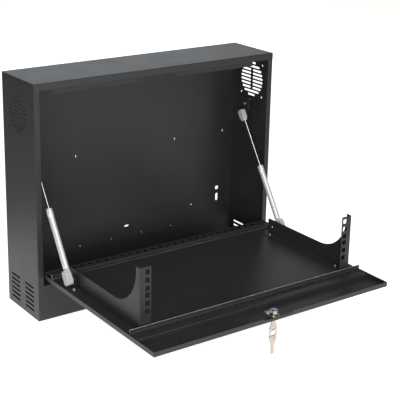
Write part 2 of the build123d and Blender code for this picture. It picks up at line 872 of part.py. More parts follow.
crimp_start = tube_start - stub_length
bore_radius = tube_radius - tube_wall
strut_tube = turned(
    [
        (0, crimp_start),
        (stub_radius, crimp_start),
        (stub_radius, tube_start),
        (tube_radius - tube_shoulder, tube_start),
        (tube_radius, tube_start + tube_shoulder),
        (tube_radius, tube_end - tube_edge),
        (tube_radius - tube_edge, tube_end),
        (bore_radius, tube_end),
        (bore_radius, tube_start + tube_floor),
        (0, tube_start + tube_floor),
    ]
)
guide_low = tube_end - guide_height
guide_top = tube_end - guide_recess
rod_guide = turned(
    [
        (rod_radius + fit_gap, guide_low),
        (bore_radius - fit_gap, guide_low),
        (bore_radius - fit_gap, guide_top),
        (rod_radius + fit_gap, guide_top),
    ]
)
piston_top = guide_low - piston_below_guide
piston_low = piston_top - piston_height + piston_face
rod_top = strut_length - rod_fitting_half - socket_floor - rod_seat_gap
strut_rod = turned([(0, piston_low), (rod_radius, piston_low), (rod_radius, rod_top), (0, rod_top)])
strut_piston = turned(
    [
        (rod_radius + press_gap, piston_low),
        (bore_radius - fit_gap, piston_low),
        (bore_radius - fit_gap, piston_top),
        (rod_radius + press_gap, piston_top),
    ]
)
tube_fitting = socket_fitting(
    0, 1, tube_start - seat_gap, tube_fitting_half, tube_fitting_back, tube_fitting_neck, stub_radius, -1
)
rod_fitting = socket_fitting(
    strut_length, -1, rod_fitting_length, rod_fitting_half, rod_fitting_back, rod_fitting_neck, rod_radius, 1
)
lower_stud = ball_stud((strut_x, lower_ball_y, lower_ball_z), -1, True)
upper_stud = ball_stud((strut_x, upper_ball_y, upper_ball_z), 1, False)

strut_pieces = {
    "strut_tube": strut_tube,
    "rod_guide": rod_guide,
    "strut_rod": strut_rod,
    "strut_piston": strut_piston,
    "tube_end_fitting": tube_fitting,
    "rod_end_fitting": rod_fitting,
    "lower_ball_stud": lower_stud,
    "upper_ball_stud": upper_stud,
}
for name, piece in strut_pieces.items():
    save(piece, f"right_{name}")
    save(mirror_to_left(piece), f"left_{name}")

# Lock: threaded housing clamped by a nut, turning plug, cam and its screw
lock_flange = 2.5
lock_flange_radius = 11
housing_below_cam = 0.5
housing_top = cam_z - housing_below_cam
flange_taper = 15
nut_flats = 20
lock_nut_height = 4
key_slot = (8, 2.2)
key_slot_depth = 14
with BuildPart() as lock_housing:
    with BuildSketch(Plane.XY.offset(door_outer_z)):
        with Locations((lock_x, lock_y)):
            Circle(lock_radius)
    extrude(amount=housing_top - door_outer_z)
    with BuildSketch(Plane.XY.offset(door_outer_z)):
        with Locations((lock_x, lock_y)):
            Circle(lock_flange_radius)
    extrude(amount=-lock_flange, taper=flange_taper)
    with BuildSketch(Plane.XY.offset(door_outer_z - lock_flange)):
        with Locations((lock_x, lock_y)):
            Circle(plug_radius)
    extrude(amount=2 * door_depth, mode=Mode.SUBTRACT)
save(lock_housing, "lock_housing")
with BuildPart() as lock_nut:
    with BuildSketch(Plane.XY.offset(door_floor_z)):
        with Locations((lock_x, lock_y)):
            RegularPolygon(nut_flats / 2, 6, major_radius=False)
            Circle(lock_radius + fit_gap, mode=Mode.SUBTRACT)
    extrude(amount=lock_nut_height)
save(lock_nut, "lock_nut")
plug_bottom = door_outer_z - lock_flange
with BuildPart() as lock_plug:
    with BuildSketch(Plane.XY.offset(plug_bottom)):
        with Locations((lock_x, lock_y)):
            Circle(plug_radius - fit_gap)
    extrude(amount=cam_z - plug_bottom)
    with BuildSketch(Plane.XY.offset(cam_z)):
        with Locations((lock_x, lock_y)):
            Rectangle(cam_square, cam_square)
    extrude(amount=cam_thickness)
    with BuildSketch(Plane.XY.offset(plug_bottom)):
        with Locations((lock_x, lock_y)):
            Rectangle(*key_slot)
    extrude(amount=key_slot_depth, mode=Mode.SUBTRACT)
save(lock_plug, "lock_plug")
with BuildPart() as lock_cam:
    with BuildSketch(Plane.XY.offset(cam_z)):
        with Locations((lock_x, lock_y)):
            Circle(cam_hub)
            Rectangle(cam_reach - cam_tip, cam_neck, align=(Align.MAX, Align.CENTER))
        with Locations((lock_x - cam_reach + cam_tip, lock_y)):
            Circle(cam_tip)
        with Locations((lock_x, lock_y)):
            Rectangle(cam_square + 2 * fit_gap, cam_square + 2 * fit_gap, mode=Mode.SUBTRACT)
    extrude(amount=cam_thickness)
save(lock_cam, "lock_cam")
cam_screw_radius = 4.6
cam_screw_height = 2.6
cam_screw_edge = 0.4
with BuildPart() as cam_screw:
    with BuildSketch(Plane.XY.offset(cam_z + cam_thickness)):
        with Locations((lock_x, lock_y)):
            RegularPolygon(cam_screw_radius, 6)
    extrude(amount=cam_screw_height)
    chamfer(cam_screw.faces().sort_by(Axis.Z)[-1].edges(), cam_screw_edge)
save(cam_screw, "cam_screw")

# Keys: a shield-shaped bow with a ring hole, and a bitted blade
shallow_bit = 1
deep_bit = 1.3
first_bit = 8


def key_blank(bow_z, blade_up):
    """A flat key standing in the X-Z plane. The blade points up when blade_up is 1, down when it is -1."""
    with BuildPart() as key:
        with BuildSketch(Plane(origin=(lock_x, lock_y, bow_z), x_dir=(1, 0, 0), z_dir=(0, -1, 0))):
            corner = bow_half - bow_corner
            with Locations((-corner, -blade_up * corner), (corner, -blade_up * corner)):
                Circle(bow_corner)
            with Locations((0, blade_up * (bow_shoulder - bow_corner))):
                Circle(bow_corner)
            make_hull()
            with Locations((0, blade_up * bow_half)):
                Rectangle(
                    key_blade,
                    key_blade_length,
                    align=(Align.CENTER, Align.MIN if blade_up > 0 else Align.MAX),
                )
            for bit in range(key_bits):
                with Locations((key_blade / 2, blade_up * (bow_half + first_bit + bit * key_bit_pitch))):
                    RegularPolygon(deep_bit if bit % 2 else shallow_bit, 4, mode=Mode.SUBTRACT)
            with Locations((0, -blade_up * (bow_half - key_hole_inset))):
                Circle(key_hole_radius, mode=Mode.SUBTRACT)
        extrude(amount=key_thickness / 2, both=True)
    return key


bow_1_z = plug_bottom - key_stands_off - bow_shoulder
hole_1_z = bow_1_z - (bow_half - key_hole_inset)
ring_top_z = hole_1_z - (key_hole_radius - ring_wire - hang_gap)
ring_centre_z = ring_top_z - ring_radius
ring_bottom_z = ring_centre_z - ring_radius
hole_2_z = ring_bottom_z - (key_hole_radius - ring_wire - hang_gap)
bow_2_z = hole_2_z - (bow_half - key_hole_inset)
inserted_key = key_blank(bow_1_z, 1)
save(inserted_key, "inserted_key")
spare_key = key_blank(bow_2_z, -1)
save(spare_key, "spare_key")
with BuildPart() as key_ring:
    with Locations(Location((lock_x, lock_y, ring_centre_z), (0, 90, 0))):
        Torus(ring_radius, ring_wire)
save(key_ring, "key_ring")

open_angle = degrees(atan2(upper_ball_z - lower_ball_z, upper_ball_y - lower_ball_y))
closed_angle = degrees(atan2(upper_ball_y - closed_ball_y, -(upper_ball_z - closed_ball_z)))
print("hinge axis", hinge_y, hinge_z)
print("strut open", round(strut_length, 3), "closed", round(closed_length, 3), "stroke", round(stroke, 3))
print("tube swing on the door", round(closed_angle - open_angle, 3), "degrees")
print("ring top", ring_top_z, "ring bottom", ring_bottom_z, "lock", lock_x, lock_y)
print("ear", ear_y, "holes", rack_holes, "top", ear_top, "door", door_rear_y, door_front_y)
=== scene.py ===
# %% [markdown]
# A wall mount network cabinet with a drop-down door.
# The steel sheets, brackets, struts and lock come from the packed model, which is the fixed frame.
# This lesson sets the camera, gives each sheet and fitting its finish, adds the small forms that
# a model for motion leaves out, and lights it all.

# %% Load the frame
import json
import math
import bmesh
import bpy
import numpy as np
from mathutils import Matrix, Vector


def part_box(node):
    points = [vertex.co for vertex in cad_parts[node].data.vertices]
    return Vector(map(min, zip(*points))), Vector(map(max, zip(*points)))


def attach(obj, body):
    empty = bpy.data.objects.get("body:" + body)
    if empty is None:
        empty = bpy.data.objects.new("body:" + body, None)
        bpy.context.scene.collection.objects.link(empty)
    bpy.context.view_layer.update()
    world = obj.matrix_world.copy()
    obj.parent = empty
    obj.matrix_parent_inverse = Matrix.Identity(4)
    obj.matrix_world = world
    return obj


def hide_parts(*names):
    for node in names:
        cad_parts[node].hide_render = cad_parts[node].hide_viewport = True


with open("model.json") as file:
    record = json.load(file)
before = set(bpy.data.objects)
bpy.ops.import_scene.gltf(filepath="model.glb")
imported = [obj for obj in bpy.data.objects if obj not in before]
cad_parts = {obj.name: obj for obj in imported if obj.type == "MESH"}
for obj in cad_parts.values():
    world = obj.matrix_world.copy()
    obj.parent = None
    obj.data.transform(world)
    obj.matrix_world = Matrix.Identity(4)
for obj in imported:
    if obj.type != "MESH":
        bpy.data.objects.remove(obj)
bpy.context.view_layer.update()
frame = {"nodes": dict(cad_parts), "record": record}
nodes = frame["nodes"]
MM = 0.001
X_AXIS, Y_AXIS, Z_AXIS = 0, 1, 2

# %% [markdown]
# The camera stands to the left of the cabinet and above it, and looks down on the open door.
# One could move it by eye until the outlines agree. Here its place, angles and focal length
# were found by matching corners of the sheets to the picture, which is surer.
# The middle of the lens isn't the middle of the picture, so a small shift moves it there.
# The place is in millimetres, the angles in degrees and the clip distances in metres.

# %% Camera
IMAGE_SIZE = 400
FOCAL_PIXELS = 1089.1
PRINCIPAL = (180, 160)
CAMERA_PLACE = (-1192.4, -1913.7, 957.0)
CAMERA_YAW = 34.88
CAMERA_PITCH = 17.26
CAMERA_ROLL = 0.90
SENSOR = 36.0
CLIP_START = 0.05
CLIP_END = 50


def turn(degrees, axis):
    """Rotation matrix about one axis."""
    return Matrix.Rotation(math.radians(degrees), 4, axis)


def add_camera():
    """Lens = focal length in pixels over the image's width, times the sensor.
    Shift = the principal point's distance from the middle, as a share of the width."""
    data = bpy.data.cameras.new("camera")
    data.sensor_width = SENSOR
    data.lens = FOCAL_PIXELS / IMAGE_SIZE * SENSOR
    data.shift_x = (IMAGE_SIZE / 2 - PRINCIPAL[0]) / IMAGE_SIZE
    data.shift_y = (PRINCIPAL[1] - IMAGE_SIZE / 2) / IMAGE_SIZE
    data.clip_start = CLIP_START
    data.clip_end = CLIP_END
    camera = bpy.data.objects.new("camera", data)
    bpy.context.scene.collection.objects.link(camera)
    place = Matrix.Translation(Vector(CAMERA_PLACE) * MM)
    aim = turn(-CAMERA_YAW, "Z") @ turn(90 - CAMERA_PITCH, "X") @ turn(CAMERA_ROLL, "Z")
    camera.matrix_world = place @ aim
    bpy.context.scene.camera = camera
    return camera


camera = add_camera()
print("lens", round(camera.data.lens, 1), "shift", camera.data.shift_x, camera.data.shift_y)

# %% [markdown]
# Shader maths reads best as plain expressions, where a chain of nodes takes a line for each link.
# The class below wraps a node's output, so that a + b or 1 - a adds the Math node that does it,
# and one method makes any other node, with its settings first and its inputs after.


# %% Shader helper
class Wire:
    """One output socket of a material, with arithmetic."""

    def __init__(self, tree, socket):
        self.tree = tree
        self.socket = socket

    def maths(self, operation, *values):
        """A Math node on this value and others."""
        return self.node("ShaderNodeMath", {"operation": operation}, dict(enumerate((self, *values))))

    def node(self, kind, settings=None, inputs=None, output=0):
        """Any node: settings first, then socket values or links. Returns one of its outputs."""
        made = self.tree.nodes.new(kind)
        for name, value in (settings or {}).items():
            setattr(made, name, value)
        for name, value in (inputs or {}).items():
            if isinstance(value, Wire):
                self.tree.links.new(value.socket, made.inputs[name])
            else:
                made.inputs[name].default_value = value
        return Wire(self.tree, made.outputs[output])

    def __add__(self, other):
        return self.maths("ADD", other)

    def __sub__(self, other):
        return self.maths("SUBTRACT", other)

    def __mul__(self, other):
        return self.maths("MULTIPLY", other)

    def __rsub__(self, other):
        return (self * -1.0) + other

    __radd__ = __add__
    __rmul__ = __mul__


print("operators", [name for name in vars(Wire) if name.startswith("__r")])

# %% [markdown]
# Every finish below is built from the same few parts: a slow noise that mixes two shades of one
# colour, a fine noise that becomes a bump, and a Bevel node that rounds sharp folds for the light.
# Each part is a short function here, so that a finish is only a few lines.


# %% Parts of a finish
def source(tree, kind, output):
    """A wire on one output of a node that needs no inputs, such as Texture Coordinate."""
    return Wire(tree, tree.nodes.new(kind).outputs[output])


def start_material(name):
    """A new material: returns it, its shader node and a wire on Object coordinates."""
    material = bpy.data.materials.new(name)
    material.use_nodes = True
    tree = material.node_tree
    shader = next(n for n in tree.nodes if n.type == "BSDF_PRINCIPLED")
    return material, shader, source(tree, "ShaderNodeTexCoord", "Object")


def feed(wire, shader, socket):
    """Link a wire to one input of the shader."""
    wire.tree.links.new(wire.socket, shader.inputs[socket])


def noise(place, scale, detail, roughness=0.5):
    """Noise whose patches are about 1 / scale metres across."""
    inputs = {"Vector": place, "Scale": scale, "Detail": detail, "Roughness": roughness}
    return place.node("ShaderNodeTexNoise", {}, inputs)


def mix_colour(factor, first, second):
    """The first colour at factor 0 and the second at 1. Output 2 of a Mix node is its colour."""
    inputs = {"Factor": factor, "A": first, "B": second}
    return factor.node("ShaderNodeMix", {"data_type": "RGBA"}, inputs, output=2)


def bevelled(wire, radius, samples=4):
    """The surface's normal, averaged over a small radius, so that a fold looks rounded."""
    return wire.node("ShaderNodeBevel", {"samples": samples}, {"Radius": radius})


def bump(height, strength, depth, normal=None):
    """A normal tilted by a height, on top of another normal if there is one."""
    inputs = {"Height": height, "Strength": strength, "Distance": depth}
    if normal:
        inputs["Normal"] = normal
    return height.node("ShaderNodeBump", {}, inputs)


def linear(red, green, blue):
    """A picture colour of 0 to 255 as the linear colour a shader takes."""
    def one(value):
        value /= 255
        return value / 12.92 if value <= 0.04045 else ((value + 0.055) / 1.055) ** 2.4
    return (one(red), one(green), one(blue), 1)


def shade(colour, share):
    """A colour made darker or lighter by a share of itself."""
    return tuple(share * channel for channel in colour[:3]) + (1,)


print("middle grey", [round(channel, 3) for channel in linear(128, 128, 128)])

# %% [markdown]
# Powder coat is baked plastic dust. It is matt from afar, with a fine pebbled skin close up,
# and it rounds the folded edges. Real pebbles and folds in the mesh would cost millions of faces,
# so two scales of noise give the pebbles and a slow change of gloss, and a bevelled normal the folds.
# On the two rails, a pale line is painted along one bent edge of each. It is a painted highlight where the
# bend catches the light.
# An edge is where the bevelled normal leaves the true one.

# %% Powder coat
BLACK = linear(47, 47, 48)
# The pale colour of the highlight painted on the rails' edges.
EDGE_HIGHLIGHT = linear(235, 235, 232)
COAT_ROUGHNESS = 0.42
COAT_SPECULAR = 0.4
COAT_GLOSS_SPREAD = 0.1
COAT_TONE_SPREAD = 0.1
PEBBLE_SCALE = 1900.0
PEBBLE_DETAIL_FALL = 0.55
PEBBLE_BUMP = 0.35
PEBBLE_DEPTH = 0.12 * MM
CLOUD_SCALE = 24.0
FOLD_RADIUS = 0.7 * MM
# Width, strength and reach of the painted edge highlight.
EDGE_HIGHLIGHT_RADIUS = 0.8 * MM
EDGE_HIGHLIGHT_GAIN = 9.0
EDGE_HIGHLIGHT_FADE = 0.5 * MM
HIGHLIGHT_LIP_DEPTH = 2.5 * MM
HIGHLIGHT_EDGE_DEPTH = 3.0 * MM


def painted_edge_highlight(tint, place, axis, limit, sign):
    """Beyond the limit on an axis, a pale painted highlight where 1 - (bevelled normal . true normal) is
    large.
    """
    along_axis = place.node("ShaderNodeSeparateXYZ", {}, {0: place}, output=axis)
    beyond = ((along_axis - limit) * (sign / EDGE_HIGHLIGHT_FADE)).maths("MAXIMUM", 0.0).maths("MINIMUM", 1.0)
    true_normal = place.node("ShaderNodeNewGeometry", output="Normal")
    rounded = bevelled(place, EDGE_HIGHLIGHT_RADIUS, samples=8)
    product = {"operation": "DOT_PRODUCT"}
    agreement = rounded.node("ShaderNodeVectorMath", product, {0: rounded, 1: true_normal}, output=1)
    edge = ((1.0 - agreement) * EDGE_HIGHLIGHT_GAIN).maths("MINIMUM", 1.0) * beyond
    return mix_colour(edge, tint, EDGE_HIGHLIGHT)


def powder_coat(name, highlight=None):
    """Noise of 0.5 mm for the pebbles, of 40 mm for tone and gloss, and a bevelled normal for the folds.
    The last argument is the axis, limit and sign of the painted edge highlight."""
    material, shader, place = start_material(name)
    pebbles = noise(place, PEBBLE_SCALE, 2.0, PEBBLE_DETAIL_FALL)
    clouds = noise(place, CLOUD_SCALE, 3.0)
    skin = bump(pebbles, PEBBLE_BUMP, PEBBLE_DEPTH, bevelled(place, FOLD_RADIUS))
    tint = mix_colour(clouds, shade(BLACK, 1 - COAT_TONE_SPREAD), shade(BLACK, 1 + COAT_TONE_SPREAD))
    # A painted highlight along the edges, where one is asked for.
    if highlight:
        tint = painted_edge_highlight(tint, place, *highlight)
    feed(tint, shader, "Base Color")
    feed(clouds * COAT_GLOSS_SPREAD + (COAT_ROUGHNESS - COAT_GLOSS_SPREAD / 2), shader, "Roughness")
    feed(skin, shader, "Normal")
    shader.inputs["Specular IOR Level"].default_value = COAT_SPECULAR
    return material


# The rails' coats get a pale highlight painted along one edge.
lip_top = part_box("front_rail")[1][Z_AXIS] - HIGHLIGHT_LIP_DEPTH
edge_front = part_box("rear_rail")[0][Y_AXIS] + HIGHLIGHT_EDGE_DEPTH
coat = powder_coat("powder_coat_black")
lip_highlight_coat = powder_coat("powder_coat_painted_lip_highlight", highlight=(Z_AXIS, lip_top, 1))
edge_highlight_coat = powder_coat("powder_coat_painted_edge_highlight", highlight=(Y_AXIS, edge_front, -1))
print("powder coats", coat.name, lip_highlight_coat.name, edge_highlight_coat.name)

# %% [markdown]
# Zinc plate is a bright grey with a faint blue cast and a soft mottle. Nickel on the keys is
# warmer, their ring is bare steel wire, brass on the lock is yellow, and the strut's rod is polished.
# All are metals, so their colour is the colour of their reflections, and one function can make
# them: what differs is the colour, the gloss and how strong and how large the mottle is.

# %% Metals
PATCH_GAIN = 1.8
PATCH_CUT = 0.4
METAL_GLOSS_SPREAD = 0.12
METAL_FOLD = 0.3 * MM
METAL_BUMP = 0.15
METAL_DEPTH = 0.05 * MM


def plated_metal(name, colour, roughness, mottle, scale=260.0, brushed=None):
    """Metal whose colour and gloss vary with noise. A brushed metal squeezes the noise along one axis."""
    material, shader, place = start_material(name)
    if brushed:
        place = place.node("ShaderNodeMapping", {}, {"Vector": place, "Scale": brushed})
    patches = noise(place, scale, 3.0)
    tint = mix_colour(patches * PATCH_GAIN - PATCH_CUT, shade(colour, 1 - mottle), colour)
    relief = bump(patches, METAL_BUMP, METAL_DEPTH, bevelled(patches, METAL_FOLD))
    feed(tint, shader, "Base Color")
    feed(patches * METAL_GLOSS_SPREAD + roughness, shader, "Roughness")
    feed(relief, shader, "Normal")
    shader.inputs["Metallic"].default_value = 1.0
    return material


zinc = plated_metal("zinc_plate", linear(196, 207, 216), roughness=0.26, mottle=0.55, scale=420.0)
nickel = plated_metal(
    "key_nickel", linear(197, 185, 173), roughness=0.36, mottle=0.12, scale=500.0, brushed=(1, 1, 4)
)
wire_steel = plated_metal("ring_steel", linear(138, 138, 140), roughness=0.22, mottle=0.2)
brass = plated_metal("lock_brass", linear(232, 220, 178), roughness=0.25, mottle=0.2)
polished = plated_metal("rod_polished", linear(232, 228, 236), roughness=0.16, mottle=0.05, scale=120.0)
print("metals", [m.name for m in (zinc, nickel, wire_steel, brass, polished)])

# %% [markdown]
# The strut's tube is painted silver-white, and its end fittings are moulded in pale grey plastic.
# The rod guide in the tube's mouth is black. Paint and moulded plastic are both smooth skins with a faint
# orange peel, so one function serves, and the tube's paint gets a clear coat and some metal flake.

# %% Paint and plastic
TONE_SCALE = 90.0
DARKER_SHARE = 0.93
PEEL_SCALE = 900.0
PEEL_BUMP = 0.1
PEEL_DEPTH = 0.05 * MM
SKIN_GLOSS_SPREAD = 0.1


def smooth_coat(name, colour, roughness, coat_weight=0.0, metallic=0.0):
    """Even colour with a slight change of tone and gloss, and a faint orange-peel skin."""
    material, shader, place = start_material(name)
    tone = noise(place, TONE_SCALE, 2.0)
    peel = noise(place, PEEL_SCALE, 1.0)
    feed(mix_colour(tone, shade(colour, DARKER_SHARE), colour), shader, "Base Color")
    feed(tone * SKIN_GLOSS_SPREAD + (roughness - SKIN_GLOSS_SPREAD / 2), shader, "Roughness")
    feed(bump(peel, PEEL_BUMP, PEEL_DEPTH), shader, "Normal")
    shader.inputs["Coat Weight"].default_value = coat_weight
    shader.inputs["Metallic"].default_value = metallic
    return material


silver_white = linear(238, 238, 240)
tube_paint = smooth_coat("tube_paint", silver_white, roughness=0.3, coat_weight=0.5, metallic=0.35)
pale_plastic = smooth_coat("pale_plastic", linear(196, 200, 194), roughness=0.45)
black_plastic = smooth_coat("black_plastic", linear(22, 22, 23), roughness=0.5)
print("smooth coats", [m.name for m in (tube_paint, pale_plastic, black_plastic)])

# %% [markdown]
# The record names a finish for each node of the frame. Dressing them one by one would take fifty
# lines, and a new node would be missed, so a loop looks each finish up. The two rails then get their own
# coats, which carry a highlight painted along their bent edges.

# %% Dress the nodes
FINISHES = {
    "powder_coat": coat,
    "zinc": zinc,
    "strut_tube_paint": tube_paint,
    "rod_chrome": polished,
    "fitting_plastic": pale_plastic,
    "black_plastic": black_plastic,
    "lock_brass": brass,
    "key_nickel": nickel,
}


def dress(node, material):
    """Put one material on a node of the frame."""
    node.data.materials.clear()
    node.data.materials.append(material)


for subpart in frame["record"]["subparts"]:
    dress(nodes[subpart["node"]], FINISHES[subpart["material_slot"]])
# The rails' coats carry the painted edge highlight.
dress(nodes["front_rail"], lip_highlight_coat)
dress(nodes["rear_rail"], edge_highlight_coat)

# %% [markdown]
# The new pieces are grids of points worked out with numpy. A grid becomes a mesh in one call,
# and then its doubles are merged, which closes the poles, and its normals are turned outwards.

# %% From a grid to a mesh
MERGE_DISTANCE = 0.004 * MM
SLIVER_DISTANCE = 0.002 * MM
SMOOTH_DEGREES = 35


def grid_faces(rows, columns, first=0):
    """Quads of a grid that closes round its columns."""
    index = first + np.arange(rows * columns).reshape(rows, columns)
    right = np.roll(index, -1, axis=1)
    return np.stack([index[:-1], index[1:], right[1:], right[:-1]], axis=-1).reshape(-1, 4)


def add_mesh(name, points, faces, material):
    """A mesh object at the origin, with its doubles merged and its normals pointing out."""
    mesh = bpy.data.meshes.new(name)
    mesh.from_pydata(points.reshape(-1, 3).tolist(), [], faces.tolist())
    work = bmesh.new()
    work.from_mesh(mesh)
    bmesh.ops.remove_doubles(work, verts=work.verts, dist=MERGE_DISTANCE)
    bmesh.ops.dissolve_degenerate(work, edges=work.edges, dist=SLIVER_DISTANCE)
    bmesh.ops.recalc_face_normals(work, faces=work.faces)
    work.to_mesh(mesh)
    work.free()
    mesh.polygons.foreach_set("use_smooth", np.ones(len(mesh.polygons), bool))
    mesh.set_sharp_from_angle(angle=math.radians(SMOOTH_DEGREES))
    mesh.materials.append(material)
    piece = bpy.data.objects.new(name, mesh)
    bpy.context.scene.collection.objects.link(piece)
    return piece


def node_points(name):
    """All points of a node of the frame, as an array."""
    mesh = nodes[name].data
    points = np.empty(3 * len(mesh.vertices))
    mesh.vertices.foreach_get("co", points)
    return points.reshape(-1, 3)


print("a grid of 3 by 4 has", len(grid_faces(3, 4)), "faces")

# %% [markdown]
# The screws are pan heads with a cross recess, each with a washer below the head and a hexagon nut.
# A lathe profile alone can't give the recess or the six flats, and cutting them with Booleans is slow.
# So each screw is one grid: rows follow the profile from the head's middle to the nut's end,
# columns go round, and the recess and the flats are changes of height and radius on that grid.

# %% A pan head screw as one grid
SCREW_COLUMNS = 96
DOME_ROWS = 22
DOME_SPACING = 0.9
HEAD_RADIUS = 3.8 * MM
HEAD_HEIGHT = 2.4 * MM
SKIRT_SHARE = 0.45
SKIRT_STEP = 0.05 * MM
WASHER_RADIUS = 4.8 * MM
WASHER_HEIGHT = 0.8 * MM
WASHER_EDGE = 0.1 * MM
SHANK_RADIUS = 2.0 * MM
NUT_ACROSS = 6.51 * MM
NUT_HEIGHT = 3.0 * MM
NUT_CHAMFER = 0.15 * MM
NUT_NEAR_SHARE = 0.9
NUT_FAR_SHARE = 0.92
SHANK_END = 0.2 * MM
RECESS_WIDTH = 0.62 * MM
RECESS_REACH = 2.1 * MM
RECESS_DEPTH = 1.3 * MM
RECESS_TAPER = 0.35
RECESS_WALL = 0.18 * MM
RECESS_SLOPE = 1.15


def screw_rows(clamped):
    """Profile rows (radius, height, six-sided share): dome, skirt, washer, shank, nut.
    The dome's height is a skirt plus the rest of the head times sqrt(1 - (radius / head radius)^2)."""
    dome = np.linspace(0, 1, DOME_ROWS)
    dome_radius = HEAD_RADIUS * np.sin(dome * np.pi / 2) ** DOME_SPACING
    rise = np.sqrt(np.clip(1 - (dome_radius / HEAD_RADIUS) ** 2, 0, 1))
    dome_height = WASHER_HEIGHT + HEAD_HEIGHT * (SKIRT_SHARE + (1 - SKIRT_SHARE) * rise)
    half_nut = NUT_ACROSS / 2
    near = -clamped
    far = near - NUT_HEIGHT
    rest = np.array([
        (HEAD_RADIUS, WASHER_HEIGHT + SKIRT_STEP, 0), (HEAD_RADIUS, WASHER_HEIGHT, 0),
        (WASHER_RADIUS - WASHER_EDGE, WASHER_HEIGHT, 0), (WASHER_RADIUS, WASHER_HEIGHT - WASHER_EDGE, 0),
        (WASHER_RADIUS, 0, 0), (SHANK_RADIUS, 0, 0), (SHANK_RADIUS, near, 0),
        (half_nut * NUT_NEAR_SHARE, near, 0), (half_nut, near - NUT_CHAMFER, 1),
        (half_nut, far + 2 * NUT_CHAMFER, 1), (half_nut * NUT_FAR_SHARE, far, 0),
        (SHANK_RADIUS, far, 0), (SHANK_RADIUS, far - SHANK_END, 0), (0, far - SHANK_END, 0),
    ])
    top = np.column_stack([dome_radius, dome_height, np.zeros_like(dome)])
    return np.vstack([top, rest])


def screw_grid(rows):
    """x = r cos t, y = r sin t, z = height. The recess lowers the dome in a tapered cross,
    and a nut's radius is its half width over the cosine of the angle to the nearest flat."""
    angle = np.linspace(0, 2 * np.pi, SCREW_COLUMNS, endpoint=False)
    radius, height, six_sided = (column[:, None] * np.ones_like(angle) for column in rows.T)
    from_flat = np.mod(angle, np.pi / 3) - np.pi / 6
    radius = radius * (1 + six_sided * (1 / np.cos(from_flat) - 1))
    x, y = radius * np.cos(angle), radius * np.sin(angle)
    across = np.minimum(np.abs(x), np.abs(y))
    along = np.maximum(np.abs(x), np.abs(y))
    width = RECESS_WIDTH * (1 - RECESS_TAPER * along / RECESS_REACH)
    inside = np.clip((width - across) / RECESS_WALL, 0, 1)
    depth = RECESS_DEPTH * np.clip(RECESS_SLOPE - along / RECESS_REACH, 0, 1)
    on_dome = (np.arange(len(rows)) < DOME_ROWS)[:, None]
    return np.stack([x, y, height - on_dome * inside * depth], axis=-1)


print("a screw has", screw_rows(0).shape[0] * SCREW_COLUMNS, "points")

# %% [markdown]
# Each set of screws is one node of the frame, and its solids mark where the screws sit. Placing
# new screws by hand would break as soon as a bracket moves, so each seat is read from the solid's
# own box. Real screws stop at any angle, so each head is turned a little differently.

# %% Screws in their seats
SHEET = 1.2 * MM
BRACKET = 1.5 * MM
HEAD_STACK = HEAD_HEIGHT + WASHER_HEIGHT


def solid_boxes(name, axes):
    """Boxes of the solids in a node, told apart by the side of the node's middle that they lie on."""
    points = node_points(name)
    middle = (points.min(axis=0) + points.max(axis=0)) / 2
    key = sum((points[:, axis] > middle[axis]).astype(int) << place for place, axis in enumerate(axes))
    return [(points[key == k].min(axis=0), points[key == k].max(axis=0)) for k in np.unique(key)]


def add_screws(name, axes, body, clamped, turns, inward=False):
    """One screw in place of each solid of the node. Its head looks up, or inwards from a side panel,
    and its seat is the box's end on that side less the head and washer."""
    shape = screw_grid(screw_rows(clamped))
    points, faces = [], []
    for number, (low, high) in enumerate(solid_boxes(name, axes)):
        middle = (low + high) / 2
        facing = np.array([-np.sign(middle[X_AXIS]), 0, 0] if inward else [0, 0, 1])
        seat = middle + facing * ((high - low) @ np.abs(facing) / 2 - HEAD_STACK)
        aim = Vector(facing).to_track_quat("Z", "Y").to_matrix().to_4x4()
        place = np.array(Matrix.Translation(Vector(seat)) @ aim @ turn(turns[number], "Z"))
        points.append(shape.reshape(-1, 3) @ place[:3, :3].T + place[:3, 3])
        faces.append(grid_faces(*shape.shape[:2], first=number * len(points[-1])))
    piece = add_mesh(name + "_turned", np.vstack(points), np.vstack(faces), zinc)
    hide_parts(name)
    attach(piece, body)
    print(piece.name, "faces", len(piece.data.polygons))


add_screws("rack_bracket_screws", (X_AXIS, Y_AXIS), "door", SHEET + BRACKET, turns=(12, 40, -20, 65))
add_screws("strut_bracket_screws", (X_AXIS, Y_AXIS), "door", SHEET + BRACKET, turns=(30, -8, 55, 18))
add_screws("stud_plate_screws", (X_AXIS,), "cabinet", 2 * BRACKET, turns=(20, 50), inward=True)

# %% [markdown]
# The keys hang on a split ring: one wire wound nearly twice, with its two ends side by side.
# A torus would look like a welded link. A tube along a flat double turn shows the real overlap.

# %% Split ring
RING_TURNS = 1.92
RING_START = 0.35 * np.pi
RING_POINTS = 160
RING_CROSSING = 6
WIRE_RADIUS = 0.5 * MM
WIRE_SPACING = 1.02
WIRE_SIDES = 12


def tube_along(path, radius, sides):
    """Rings of points round a path: centre + radius (cos t side + sin t up).
    The first and last ring shrink to a point, which closes the ends."""
    ahead = np.gradient(path, axis=0)
    ahead /= np.linalg.norm(ahead, axis=1)[:, None]
    up = np.tile([0.0, 1.0, 0.0], (len(path), 1))
    side = np.cross(ahead, up)
    side /= np.linalg.norm(side, axis=1)[:, None]
    up = np.cross(side, ahead)
    around = np.linspace(0, 2 * np.pi, sides, endpoint=False)
    ring = np.cos(around)[None, :, None] * side[:, None] + np.sin(around)[None, :, None] * up[:, None]
    body = path[:, None] + radius * ring
    ends = np.repeat(path[[0, -1], None], sides, axis=1)
    return np.concatenate([ends[:1], body, ends[1:]])


